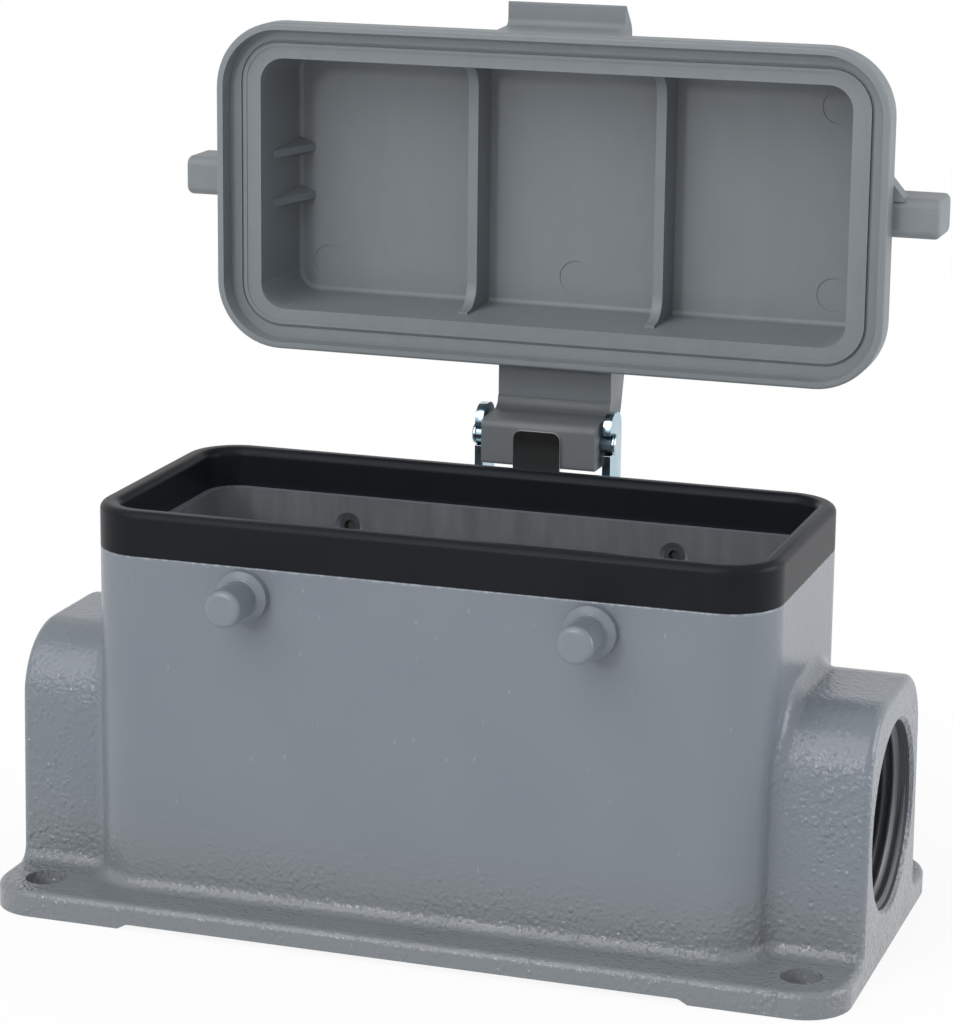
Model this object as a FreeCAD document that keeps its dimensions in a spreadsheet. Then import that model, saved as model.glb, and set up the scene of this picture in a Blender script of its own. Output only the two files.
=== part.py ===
import FreeCAD, Part
import math
import os
import Sketcher

# Surface mounting housing of a heavy duty rectangular connector, with a hinged protective cover standing open.
# X runs along the long side, +Y points to the hinge, Z is up, and the foot rests on z = 0.

document = FreeCAD.newDocument("surface_mounting_connector_housing")

# Sizes in millimetres, angles in degrees.
sizes = document.addObject("Spreadsheet::Sheet", "sizes")
size_values = {
    "overlap": 0.5,
    "cut_margin": 1,
    "tower_length": 93.5,
    "tower_width": 43,
    "tower_corner": 7.5,
    "tower_height": 49.6,
    "tower_edge_round": 0.25,
    "tower_wall": 3.9,
    "cavity_corner": 3.6,
    "floor_thickness": 4,
    "foot_hole_pitch_long": 105,
    "foot_hole_pitch_wide": 45,
    "foot_margin_long": 6.5,
    "foot_margin_wide": 6,
    "foot_length": "=foot_hole_pitch_long + 2 * foot_margin_long",
    "foot_width": "=foot_hole_pitch_wide + 2 * foot_margin_wide",
    "foot_thickness": 3.5,
    "foot_corner": 6.5,
    "outer_round": 1,
    "foot_hole_diameter": 5.5,
    "foot_relief_length": 78.6,
    "foot_relief_height": 0.7,
    "foot_relief_slope": 1.3,
    "foot_relief_round": 0.8,
    "boss_width": 32,
    "boss_height": 35.7,
    "boss_side_draft": 1.5,
    "boss_shoulder_round": 9.5,
    "boss_root_round": 2.1,
    "foot_root_round": 1.8,
    "entry_height": 18.5,
    "entry_diameter": 25,
    "entry_chamfer": 0.5,
    "entry_thread_length": 13,
    "entry_core_diameter": 22.4,
    "insert_seat_height": 35,
    "insert_screw_pitch_long": 77.5,
    "insert_screw_pitch_wide": 27,
    "insert_screw_core": 3.3,
    "insert_screw_depth": 10,
    "pillar_half_width": 4,
    "pillar_round": 2,
    "rim_ledge": 1,
    "rim_ledge_height": 0.5,
    "rim_tongue_thickness": 1,
    "rim_tongue_height": 3.5,
    "seal_height": 6,
    "seal_thickness": 2.85,
    "seal_clearance": 0.04,
    "seal_outer_round": 1,
    "seal_inner_round": 1.2,
    "peg_pitch": 47.4,
    "peg_height": 45.75,
    "peg_collar_diameter": 7.1,
    "peg_collar_thickness": 1.9,
    "peg_collar_chamfer": 0.8,
    "peg_collar_round": 0.2,
    "peg_tip_diameter": 5,
    "peg_tip_round": 0.8,
    "peg_root_round": 0.15,
    "peg_reach": 7.8,
    "peg_shank_diameter": 2.6,
    "peg_clearance": 0.02,
    "peg_cone_depth": 0.75,
    "peg_end_recess": 0.55,
    "peg_end_hole_diameter": 1.7,
    "peg_end_hole_taper": 0.25,
    "peg_end_hole_depth": 0.8,
    "hinge_behind": 34.35,
    "hinge_height": 56.9,
    "pin_diameter": 2.8,
    "pin_clearance": 0.05,
    "pin_end_diameter": 3.1,
    "pin_end_thickness": 0.6,
    "pin_end_round": 0.4,
    "sheet_thickness": 1.2,
    "sheet_bend": 0.6,
    "cheek_outer_width": 20.2,
    "cheek_front_reach": 1.65,
    "cheek_back_reach": 3.85,
    "cheek_top_reach": 4.35,
    "cheek_top_round": 2.4,
    "cheek_heel_reach": 4,
    "cheek_heel_round": 3,
    "cheek_knee_drop": 3,
    "cheek_knee_round": 4,
    "cheek_neck": 4,
    "cheek_neck_round": 2,
    "cheek_toe_round": 3,
    "bracket_bottom": 31,
    "bracket_top": 45.5,
    "rivet_pitch": 11,
    "rivet_height": 37.5,
    "rivet_diameter": 3,
    "rivet_head_diameter": 5.4,
    "rivet_head_thickness": 1.3,
    "rivet_head_round": 1.1,
    "rivet_peen_diameter": 4.4,
    "rivet_peen_thickness": 0.5,
    "rivet_peen_round": 0.3,
    "rivet_clearance": 0.02,
    "leaf_thickness": 0.5,
    "leaf_width": 6.9,
    "leaf_root_width": 17,
    "leaf_root_bottom": 33.5,
    "leaf_root_corner": 1,
    "leaf_bend": 0.5,
    "leaf_bend_height": 43.5,
    "leaf_top_reach": 1.9,
    "leaf_gap": 0.05,
    "leaf_tip_round": 1.2,
    "cam_front": 3.95,
    "cam_below": 3.4,
    "cam_above": 3,
    "cam_back": 3.8,
    "cam_top_round": 1.1,
    "cam_bottom_round": 0.5,
    "cam_back_round": 1.5,
    "cam_side_gap": 0.5,
    "neck_length": 2,
    "neck_rise": 0.4,
    "neck_round": 1.5,
    "arm_front": 3.85,
    "arm_step": 0.25,
    "arm_thickness": 6.8,
    "arm_knee_length": 5,
    "arm_knee_drop": 1.5,
    "arm_knee_round": 3,
    "cover_gap": 0.05,
    "cover_length": 97.7,
    "cover_width": 46.86,
    "cover_corner": 9.5,
    "rim_height": 4.1,
    "rim_edge_round": 0.4,
    "lip_thickness": 1,
    "lip_depth": 2.75,
    "channel_depth": 0.15,
    "bead_width": 0.5,
    "bead_height": 0.15,
    "bead_groove_width": 0.4,
    "bead_groove_depth": 0.3,
    "seat_width_long": 2.6,
    "seat_width_wide": 2.2,
    "opening_length": 86.2,
    "opening_width": 36.2,
    "opening_corner": 3.5,
    "tray_depth": 14.5,
    "tray_draft": 1.5,
    "tray_wall": 2.3,
    "tray_top_round": 2.5,
    "tray_floor_round": 0.7,
    "wall_bite": 0.6,
    "rib_pitch": 27.8,
    "rib_thickness": 1.45,
    "rib_height": 5.75,
    "rib_flare": 4,
    "rib_foot": 0.5,
    "rib_lean": 0.3,
    "gusset_pitch": 7.1,
    "gusset_edge_thickness": 1,
    "gusset_root_thickness": 4,
    "gusset_depth": 9.7,
    "gusset_reach": 2.6,
    "ejector_diameter": 4.8,
    "ejector_depth": 0.15,
    "ejector_pitch_long": 76,
    "ejector_pitch_wide": 26.6,
    "lug_reach": 6.4,
    "lug_width": 5.6,
    "lug_thickness": 8.2,
    "lug_above_seat": 1.05,
    "lug_shift": 0.34,
    "lug_round": 1.3,
    "lug_end_round": 0.8,
    "lug_web_reach": 1.5,
    "lug_web_height": 7.2,
    "lug_web_thickness": 3,
    "tab_width": 17.15,
    "tab_reach": 3.3,
    "tab_above_seat": 7.85,
    "tab_thickness": 3.7,
    "tab_tip_thickness": 0.6,
    "tab_tip_round": 0.25,
    "tab_root_round": 1,
    "tab_back_round": 2,
    "tab_lean": 0.3,
}
for row, (alias, value) in enumerate(size_values.items(), start=1):
    sizes.set(f"A{row}", alias)
    sizes.set(f"B{row}", str(value))
    sizes.setAlias(f"B{row}", alias)
document.recompute()

# Places that several pieces share, each worked out from the sheet.
tower_back = "(sizes.tower_width / 2)"
seal_top = "(sizes.tower_height + sizes.seal_height)"
cheek_inside = "(sizes.cheek_outer_width / 2 - sizes.sheet_thickness)"
bracket_face = "(sizes.tower_width / 2 + sizes.sheet_thickness)"
seat_plane = f"({seal_top} + sizes.cover_gap + sizes.bead_height - sizes.hinge_height)"
cover_middle = "(-sizes.hinge_behind)"
tray_floor = f"({seat_plane} + sizes.tray_depth)"
tray_top = f"({tray_floor} + sizes.tray_wall)"


def new_body(name):
    body = document.addObject("PartDesign::Body", name)
    body.Label = name
    return body


def sketch_on(body, name, role, offset="0"):
    """An empty sketch on one of the body's own planes, moved along that plane's normal."""
    sketch = body.newObject("Sketcher::SketchObject", name)
    origin_plane = [feature for feature in body.Origin.OriginFeatures if feature.Role == role][0]
    sketch.AttachmentSupport = [(origin_plane, "")]
    sketch.MapMode = "FlatFace"
    sketch.setExpression(".AttachmentOffset.Base.z", offset)
    return sketch


def fix(sketch, kind, elements, expression):
    """Adds a dimension and ties it to the sheet."""
    value = float(sketch.evalExpression(expression))
    index = sketch.addConstraint(Sketcher.Constraint(kind, *elements, value))
    sketch.setExpression(f"Constraints[{index}]", expression)


def outline(sketch, corners):
    """A closed outline through corners, each an (x, y) or (x, y, radius) of expressions, tied to the sheet."""
    values = []
    for corner in corners:
        values.append([float(sketch.evalExpression(part)) for part in corner])
    count = len(corners)
    starts = []
    ends = []
    centres = []
    for i in range(count):
        here = FreeCAD.Vector(values[i][0], values[i][1], 0)
        before = FreeCAD.Vector(values[i - 1][0], values[i - 1][1], 0)
        after = FreeCAD.Vector(values[(i + 1) % count][0], values[(i + 1) % count][1], 0)
        if len(corners[i]) == 2:
            ends.append(here)
            starts.append(here)
            centres.append(None)
            continue
        radius = values[i][2]
        to_before = (before - here).normalize()
        to_after = (after - here).normalize()
        half_angle = to_before.getAngle(to_after) / 2
        ends.append(here + to_before * (radius / math.tan(half_angle)))
        starts.append(here + to_after * (radius / math.tan(half_angle)))
        centres.append(here + (to_before + to_after).normalize() * (radius / math.sin(half_angle)))
    lines = []
    for i in range(count):
        lines.append(sketch.addGeometry(Part.LineSegment(starts[i], ends[(i + 1) % count])))
    for i in range(count):
        line_in = lines[i - 1]
        line_out = lines[i]
        if centres[i] is None:
            sketch.addConstraint(Sketcher.Constraint("Coincident", line_in, 2, line_out, 1))
            fix(sketch, "DistanceX", (-1, 1, line_out, 1), corners[i][0])
            fix(sketch, "DistanceY", (-1, 1, line_out, 1), corners[i][1])
            continue
        centre = centres[i]
        first = ends[i] - centre
        last = starts[i] - centre
        turns_left = first.x * last.y - first.y * last.x > 0
        circle = Part.Circle(centre, FreeCAD.Vector(0, 0, 1), values[i][2])
        first_angle = math.atan2(first.y, first.x)
        last_angle = math.atan2(last.y, last.x)
        if turns_left:
            arc = sketch.addGeometry(Part.ArcOfCircle(circle, first_angle, last_angle))
            arc_in, arc_out = 1, 2
        else:
            arc = sketch.addGeometry(Part.ArcOfCircle(circle, last_angle, first_angle))
            arc_in, arc_out = 2, 1
        point = sketch.addGeometry(Part.Point(FreeCAD.Vector(values[i][0], values[i][1], 0)), True)
        sketch.addConstraint(Sketcher.Constraint("Tangent", line_in, 2, arc, arc_in))
        sketch.addConstraint(Sketcher.Constraint("Tangent", arc, arc_out, line_out, 1))
        sketch.addConstraint(Sketcher.Constraint("PointOnObject", point, 1, line_in))
        sketch.addConstraint(Sketcher.Constraint("PointOnObject", point, 1, line_out))
        fix(sketch, "DistanceX", (-1, 1, point, 1), corners[i][0])
        fix(sketch, "DistanceY", (-1, 1, point, 1), corners[i][1])
        fix(sketch, "Radius", (arc,), corners[i][2])


def rounded_rectangle(sketch, length, width, radius, x="0", y="0"):
    right = f"{x} + ({length}) / 2"
    left = f"{x} - ({length}) / 2"
    back = f"{y} + ({width}) / 2"
    front = f"{y} - ({width}) / 2"
    outline(sketch, [(left, front, radius), (right, front, radius), (right, back, radius), (left, back, radius)])


def circle(sketch, x, y, diameter):
    centre = FreeCAD.Vector(float(sketch.evalExpression(x)), float(sketch.evalExpression(y)), 0)
    radius = float(sketch.evalExpression(diameter)) / 2
    round_hole = sketch.addGeometry(Part.Circle(centre, FreeCAD.Vector(0, 0, 1), radius))
    fix(sketch, "DistanceX", (-1, 1, round_hole, 3), x)
    fix(sketch, "DistanceY", (-1, 1, round_hole, 3), y)
    fix(sketch, "Diameter", (round_hole,), diameter)


def extrude(body, kind, name, sketch, length, side="One side", reverse=False, draft=None):
    feature = body.newObject(kind, name)
    feature.Profile = sketch
    feature.SideType = side
    feature.Reversed = reverse
    feature.setExpression("Length", length)
    if draft:
        feature.setExpression("TaperAngle", draft)
        if side == "Symmetric":
            feature.setExpression("TaperAngle2", draft)
    sketch.Visibility = False
    document.recompute()
    return feature


def pad(body, name, sketch, length, **options):
    return extrude(body, "PartDesign::Pad", name, sketch, length, **options)


def pocket(body, name, sketch, length, **options):
    return extrude(body, "PartDesign::Pocket", name, sketch, length, **options)


def turn(body, name, corners):
    """A turned piece about the body's own Z axis from a half outline of (radius, height) corners."""
    sketch = sketch_on(body, name + "_outline", "XZ_Plane")
    outline(sketch, corners)
    feature = body.newObject("PartDesign::Revolution", name)
    feature.Profile = sketch
    feature.ReferenceAxis = (sketch, ["V_Axis"])
    feature.Angle = 360
    sketch.Visibility = False
    document.recompute()
    return feature


def round_edges(body, name, radius, chosen):
    """Rounds the edges of the body so far for which chosen(edge) is true."""
    base = body.Tip
    edges = [f"Edge{i}" for i, edge in enumerate(base.Shape.Edges, start=1) if chosen(edge)]
    feature = body.newObject("PartDesign::Fillet", name)
    feature.Base = (base, edges)
    feature.setExpression("Radius", radius)
    document.recompute()
    return feature


def size(alias):
    return float(sizes.get(alias))


def near(a, b, tolerance=0.01):
    return abs(a - b) < tolerance


# Housing: one painted die casting with foot, tower, two cable entry bosses and insert pillars.
housing = new_body("housing")

boss_outline = sketch_on(housing, "boss_outline", "YZ_Plane")
boss_lean = "sizes.boss_height * tan(sizes.boss_side_draft * 1 deg)"
outline(
    boss_outline,
    [
        ("-sizes.boss_width / 2", "sizes.foot_relief_height"),
        ("sizes.boss_width / 2", "sizes.foot_relief_height"),
        (f"sizes.boss_width / 2 - {boss_lean}", "sizes.boss_height", "sizes.boss_shoulder_round"),
        (f"-sizes.boss_width / 2 + {boss_lean}", "sizes.boss_height", "sizes.boss_shoulder_round"),
    ],
)
pad(housing, "bosses", boss_outline, "sizes.foot_length", side="Symmetric")

tower_outline = sketch_on(housing, "tower_outline", "XY_Plane", "sizes.foot_relief_height")
rounded_rectangle(tower_outline, "sizes.tower_length", "sizes.tower_width", "sizes.tower_corner")
pad(housing, "tower", tower_outline, "sizes.tower_height - sizes.foot_relief_height")


def on_tower_end(edge):
    box = edge.BoundBox
    half_length = size("tower_length") / 2
    inside = size("tower_corner") * 0.2
    ends_reach = max(abs(box.XMin), abs(box.XMax))
    narrow = max(abs(box.YMin), abs(box.YMax)) < size("boss_width") / 2 + 0.1
    low = box.ZMax < size("boss_height") + 0.1
    above_bottom = box.ZMax > size("foot_relief_height") + 0.1
    return low and above_bottom and narrow and near(ends_reach, half_length, inside) and box.XLength < inside


round_edges(housing, "boss_root", "sizes.boss_root_round", on_tower_end)

foot_outline = sketch_on(housing, "foot_outline", "XY_Plane")
rounded_rectangle(foot_outline, "sizes.foot_length", "sizes.foot_width", "sizes.foot_corner")
pad(housing, "foot", foot_outline, "sizes.foot_thickness")


def on_foot_top(edge):
    box = edge.BoundBox
    flat = near(box.ZMin, size("foot_thickness")) and near(box.ZMax, size("foot_thickness"))
    inside_width = max(abs(box.YMin), abs(box.YMax)) < size("foot_width") / 2 - 1
    inside_length = max(abs(box.XMin), abs(box.XMax)) < size("foot_length") / 2 - 0.1
    return flat and inside_width and (inside_length or box.XLength > size("foot_corner"))


round_edges(housing, "foot_root", "sizes.foot_root_round", on_foot_top)


def on_outer_edge(edge):
    box = edge.BoundBox
    above = box.ZMin > size("foot_thickness") - 0.01
    on_end = box.XLength < 0.01 and near(abs(box.XMin), size("foot_length") / 2)
    on_side = box.YLength < 0.01 and near(abs(box.YMin), size("foot_width") / 2)
    middle = edge.CenterOfMass
    on_corner = abs(middle.x) > size("foot_length") / 2 - size("foot_corner")
    on_corner = on_corner and abs(middle.y) > size("foot_width") / 2 - size("foot_corner")
    return above and (on_end or on_side or (on_corner and box.ZLength < 0.01))


round_edges(housing, "outer_round", "sizes.outer_round", on_outer_edge)

relief_outline = sketch_on(housing, "relief_outline", "XZ_Plane")
relief_top = "(sizes.foot_relief_length / 2 - sizes.foot_relief_slope)"
outline(
    relief_outline,
    [
        ("-sizes.foot_relief_length / 2", "0"),
        ("sizes.foot_relief_length / 2", "0"),
        (relief_top, "sizes.foot_relief_height", "sizes.foot_relief_round"),
        (f"-{relief_top}", "sizes.foot_relief_height", "sizes.foot_relief_round"),
    ],
)
pocket(housing, "foot_relief", relief_outline, "sizes.foot_width + 2 * sizes.cut_margin", side="Symmetric")


def on_tower_top(edge):
    box = edge.BoundBox
    return near(box.ZMin, size("tower_height")) and near(box.ZMax, size("tower_height"))


round_edges(housing, "tower_edge_round", "sizes.tower_edge_round", on_tower_top)

cavity_length = "(sizes.tower_length - 2 * sizes.tower_wall)"
cavity_width = "(sizes.tower_width - 2 * sizes.tower_wall)"
cavity_outline = sketch_on(housing, "cavity_outline", "XY_Plane", "sizes.floor_thickness")
rounded_rectangle(cavity_outline, cavity_length, cavity_width, "sizes.cavity_corner")
pocket(housing, "cavity", cavity_outline, "sizes.tower_height", reverse=True)

# The contact insert would be screwed down on these four pillars.
pillar_outlines = sketch_on(housing, "pillar_outlines", "XY_Plane", "sizes.floor_thickness - sizes.overlap")
for along in ("-1", "1"):
    for across in ("-1", "1"):
        near_x = f"{along} * (sizes.insert_screw_pitch_long / 2 - sizes.pillar_half_width)"
        near_y = f"{across} * (sizes.insert_screw_pitch_wide / 2 - sizes.pillar_half_width)"
        wall_x = f"{along} * ({cavity_length} / 2 + sizes.overlap)"
        wall_y = f"{across} * ({cavity_width} / 2 + sizes.overlap)"
        outline(
            pillar_outlines,
            [(near_x, near_y, "sizes.pillar_round"), (wall_x, near_y), (wall_x, wall_y), (near_x, wall_y)],
        )
pad(housing, "pillars", pillar_outlines, "sizes.insert_seat_height - sizes.floor_thickness + sizes.overlap")

screw_outlines = sketch_on(housing, "screw_outlines", "XY_Plane", "sizes.insert_seat_height")
for along in ("-1", "1"):
    for across in ("-1", "1"):
        circle(
            screw_outlines,
            f"{along} * sizes.insert_screw_pitch_long / 2",
            f"{across} * sizes.insert_screw_pitch_wide / 2",
            "sizes.insert_screw_core",
        )
pocket(housing, "insert_screw_holes", screw_outlines, "sizes.insert_screw_depth")

# Cable entries: a threaded mouth in each boss, then a plain core hole into the cavity.
core_outline = sketch_on(housing, "core_outline", "YZ_Plane")
circle(core_outline, "0", "sizes.entry_height", "sizes.entry_core_diameter")
pocket(housing, "entry_cores", core_outline, "sizes.foot_length + 2 * sizes.cut_margin", side="Symmetric")

mouth_outline = sketch_on(housing, "mouth_outline", "YZ_Plane", "sizes.foot_length / 2")
circle(mouth_outline, "0", "sizes.entry_height", "sizes.entry_diameter")
right_mouth = pocket(housing, "right_mouth", mouth_outline, "sizes.entry_thread_length")
both_mouths = housing.newObject("PartDesign::Mirrored", "both_mouths")
both_mouths.Originals = [right_mouth]
both_mouths.MirrorPlane = ([item for item in housing.Origin.OriginFeatures if item.Role == "YZ_Plane"][0], [""])
housing.Tip = both_mouths
document.recompute()

mouth_chamfer = housing.newObject("PartDesign::Chamfer", "mouth_chamfer")
mouth_chamfer.Base = (
    both_mouths,
    [
        f"Edge{i}"
        for i, edge in enumerate(both_mouths.Shape.Edges, start=1)
        if near(abs(edge.BoundBox.XMin), size("foot_length") / 2)
        and near(abs(edge.BoundBox.XMax), size("foot_length") / 2)
        and near(edge.BoundBox.YLength, size("entry_diameter"), 0.1)
    ],
)
mouth_chamfer.setExpression("Size", "sizes.entry_chamfer")
document.recompute()

foot_hole_outlines = sketch_on(housing, "foot_hole_outlines", "XY_Plane")
for along in ("-1", "1"):
    for across in ("-1", "1"):
        circle(
            foot_hole_outlines,
            f"{along} * sizes.foot_hole_pitch_long / 2",
            f"{across} * sizes.foot_hole_pitch_wide / 2",
            "sizes.foot_hole_diameter",
        )
pocket(housing, "foot_holes", foot_hole_outlines, "sizes.foot_thickness + sizes.cut_margin", reverse=True)

peg_hole = "sizes.peg_shank_diameter + 2 * sizes.peg_clearance"
peg_hole_outlines = sketch_on(housing, "peg_hole_outlines", "XZ_Plane")
for along in ("-1", "1"):
    circle(peg_hole_outlines, f"{along} * sizes.peg_pitch / 2", "sizes.peg_height", peg_hole)
pocket(housing, "peg_holes", peg_hole_outlines, "sizes.tower_width + 2 * sizes.cut_margin", side="Symmetric")

# Inside, each peg hole opens in a cone of 45 degrees that the end of the peg is spread into.
cone_mouth = f"({peg_hole} + 2 * sizes.peg_cone_depth)"
for side, inner_face, outwards in (("front", "1", True), ("back", "-1", False)):
    cone_outlines = sketch_on(
        housing, f"{side}_cone_outlines", "XZ_Plane", f"{inner_face} * (sizes.tower_width / 2 - sizes.tower_wall)"
    )
    for along in ("-1", "1"):
        circle(cone_outlines, f"{along} * sizes.peg_pitch / 2", "sizes.peg_height", cone_mouth)
    pocket(housing, f"{side}_peg_cones", cone_outlines, "sizes.peg_cone_depth", reverse=outwards, draft="-45")

rivet_hole_outlines = sketch_on(
    housing, "rivet_hole_outlines", "XZ_Plane", f"-{tower_back} - sizes.cut_margin"
)
rivet_hole = "sizes.rivet_diameter + 2 * sizes.rivet_clearance"
for along in ("-1", "1"):
    circle(rivet_hole_outlines, f"{along} * sizes.rivet_pitch / 2", "sizes.rivet_height", rivet_hole)
pocket(housing, "rivet_holes", rivet_hole_outlines, "sizes.tower_wall + 2 * sizes.cut_margin", reverse=True)

# The rim carries the rubber seal: a low ledge inside and a tongue that the seal is pushed over.
ledge_outlines = sketch_on(housing, "ledge_outlines", "XY_Plane", "sizes.tower_height - sizes.overlap")
rounded_rectangle(
    ledge_outlines,
    "sizes.tower_length - 2 * sizes.rim_ledge",
    "sizes.tower_width - 2 * sizes.rim_ledge",
    "sizes.tower_corner - sizes.rim_ledge",
)
rounded_rectangle(ledge_outlines, cavity_length, cavity_width, "sizes.cavity_corner")
pad(housing, "rim_ledge", ledge_outlines, "sizes.rim_ledge_height + sizes.overlap")

tongue_inset = "(sizes.rim_ledge + sizes.rim_tongue_thickness)"
tongue_outlines = sketch_on(housing, "tongue_outlines", "XY_Plane", "sizes.tower_height - sizes.overlap")
rounded_rectangle(
    tongue_outlines,
    "sizes.tower_length - 2 * sizes.rim_ledge",
    "sizes.tower_width - 2 * sizes.rim_ledge",
    "sizes.tower_corner - sizes.rim_ledge",
)
rounded_rectangle(
    tongue_outlines,
    f"sizes.tower_length - 2 * {tongue_inset}",
    f"sizes.tower_width - 2 * {tongue_inset}",
    f"sizes.tower_corner - {tongue_inset}",
)
pad(housing, "rim_tongue", tongue_outlines, "sizes.rim_tongue_height + sizes.overlap")


# Housing seal: a moulded rubber ring on the tower rim, flush with the tower outside.
housing_seal = new_body("housing_seal")

seal_outlines = sketch_on(housing_seal, "seal_outlines", "XY_Plane", "sizes.tower_height")
rounded_rectangle(seal_outlines, "sizes.tower_length", "sizes.tower_width", "sizes.tower_corner")
rounded_rectangle(
    seal_outlines,
    "sizes.tower_length - 2 * sizes.seal_thickness",
    "sizes.tower_width - 2 * sizes.seal_thickness",
    "sizes.tower_corner - sizes.seal_thickness",
)
pad(housing_seal, "seal_ring", seal_outlines, "sizes.seal_height")


def seal_groove(name, outer_inset, inner_inset, height):
    groove = sketch_on(housing_seal, name + "_outlines", "XY_Plane", "sizes.tower_height")
    for inset in (outer_inset, inner_inset):
        rounded_rectangle(
            groove,
            f"sizes.tower_length - 2 * ({inset})",
            f"sizes.tower_width - 2 * ({inset})",
            f"sizes.tower_corner - ({inset})",
        )
    pocket(housing_seal, name, groove, height, reverse=True)


seal_groove(
    "tongue_groove",
    "sizes.rim_ledge - sizes.seal_clearance",
    f"{tongue_inset} + sizes.seal_clearance",
    "sizes.rim_tongue_height + sizes.seal_clearance",
)
seal_groove(
    "ledge_step",
    "sizes.rim_ledge - sizes.seal_clearance",
    "sizes.seal_thickness + sizes.cut_margin",
    "sizes.rim_ledge_height",
)


def on_seal_top_outside(edge):
    box = edge.BoundBox
    middle = edge.CenterOfMass
    half_length = size("tower_length") / 2
    half_width = size("tower_width") / 2
    outside = near(abs(middle.x), half_length, 2) or near(abs(middle.y), half_width, 2)
    top = near(box.ZMin, size("tower_height") + size("seal_height"))
    inner = size("seal_thickness") + 0.1
    in_hole = max(abs(box.XMin), abs(box.XMax)) < half_length - inner + 0.2
    in_hole = in_hole and max(abs(box.YMin), abs(box.YMax)) < half_width - inner + 0.2
    return top and outside and not in_hole


def on_seal_top_inside(edge):
    box = edge.BoundBox
    inner = size("seal_thickness")
    in_hole = max(abs(box.XMin), abs(box.XMax)) < size("tower_length") / 2 - inner + 0.01
    in_hole = in_hole and max(abs(box.YMin), abs(box.YMax)) < size("tower_width") / 2 - inner + 0.01
    return near(box.ZMin, size("tower_height") + size("seal_height")) and in_hole


round_edges(housing_seal, "outer_top_round", "sizes.seal_outer_round", on_seal_top_outside)
round_edges(housing_seal, "inner_top_round", "sizes.seal_inner_round", on_seal_top_inside)


def place(body, angle, x="0", y="0", z="0"):
    """Turns a body about the X axis and puts its origin at a place worked out from the sheet."""
    turn_about_x = FreeCAD.Rotation(FreeCAD.Vector(1, 0, 0), angle)
    body.Placement = FreeCAD.Placement(FreeCAD.Vector(0, 0, 0), turn_about_x)
    body.setExpression(".Placement.Base.x", x)
    body.setExpression(".Placement.Base.y", y)
    body.setExpression(".Placement.Base.z", z)


# Locking pegs: four turned studs, each pushed through the wall from outside. The inner end has a blind hole
# and is spread into the cone of the wall, so it stays below the wall's face.
# Their own Z axis points away from the tower and starts at its outer face.
peg_end = "(-sizes.tower_wall + sizes.peg_end_recess)"
peg_hole_end = "(sizes.peg_end_hole_diameter / 2 - sizes.peg_end_hole_taper)"
peg_collar_edge = "(sizes.peg_collar_thickness - sizes.peg_collar_chamfer)"
for side, across, angle in (("front", "-1", 90), ("back", "1", -90)):
    for end, along in (("left", "-1"), ("right", "1")):
        peg = new_body(f"locking_peg_{side}_{end}")
        turn(
            peg,
            f"peg_{side}_{end}",
            [
                ("0", f"{peg_end} + sizes.peg_end_hole_depth"),
                (peg_hole_end, f"{peg_end} + sizes.peg_end_hole_depth"),
                ("sizes.peg_end_hole_diameter / 2", peg_end),
                ("sizes.peg_shank_diameter / 2 + sizes.peg_cone_depth - sizes.peg_end_recess", peg_end),
                ("sizes.peg_shank_diameter / 2", "-sizes.tower_wall + sizes.peg_cone_depth"),
                ("sizes.peg_shank_diameter / 2", "0"),
                ("sizes.peg_collar_diameter / 2", "0"),
                ("sizes.peg_collar_diameter / 2", peg_collar_edge, "sizes.peg_collar_round"),
                ("sizes.peg_collar_diameter / 2 - sizes.peg_collar_chamfer", "sizes.peg_collar_thickness"),
                ("sizes.peg_tip_diameter / 2", "sizes.peg_collar_thickness", "sizes.peg_root_round"),
                ("sizes.peg_tip_diameter / 2", "sizes.peg_reach", "sizes.peg_tip_round"),
                ("0", "sizes.peg_reach"),
            ],
        )
        place(peg, angle, f"{along} * sizes.peg_pitch / 2", f"{across} * {tower_back}", "sizes.peg_height")


# Hinge bracket: a folded zinc plated sheet, base flat on the back of the tower, two cheeks with open slots.
hinge_bracket = new_body("hinge_bracket")

base_outline = sketch_on(hinge_bracket, "base_outline", "XZ_Plane", f"-{tower_back}")
outline(
    base_outline,
    [
        ("-sizes.cheek_outer_width / 2", "sizes.bracket_bottom"),
        ("sizes.cheek_outer_width / 2", "sizes.bracket_bottom"),
        ("sizes.cheek_outer_width / 2", "sizes.bracket_top"),
        ("-sizes.cheek_outer_width / 2", "sizes.bracket_top"),
    ],
)
pad(hinge_bracket, "base", base_outline, "sizes.sheet_thickness", reverse=True)

cheek_front = "(sizes.hinge_behind - sizes.cheek_front_reach)"
cheek_back = "(sizes.hinge_behind + sizes.cheek_back_reach)"
cheek_corners = [
    (tower_back, "sizes.bracket_bottom"),
    (f"{tower_back} + sizes.cheek_heel_reach", "sizes.bracket_bottom", "sizes.cheek_heel_round"),
    (cheek_back, "sizes.bracket_top - sizes.cheek_knee_drop", "sizes.cheek_knee_round"),
    (cheek_back, "sizes.hinge_height + sizes.cheek_top_reach", "sizes.cheek_top_round"),
    (cheek_front, "sizes.hinge_height + sizes.cheek_top_reach", "sizes.cheek_top_round"),
    (cheek_front, "sizes.bracket_top + sizes.cheek_neck", "sizes.cheek_neck_round"),
    (f"{cheek_front} - sizes.cheek_neck", "sizes.bracket_top", "sizes.cheek_toe_round"),
    (tower_back, "sizes.bracket_top"),
]
for end, offset in (("left", "-sizes.cheek_outer_width / 2"), ("right", cheek_inside)):
    cheek_outline = sketch_on(hinge_bracket, f"{end}_cheek_outline", "YZ_Plane", offset)
    outline(cheek_outline, cheek_corners)
    pad(hinge_bracket, f"{end}_cheek", cheek_outline, "sizes.sheet_thickness")

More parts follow.
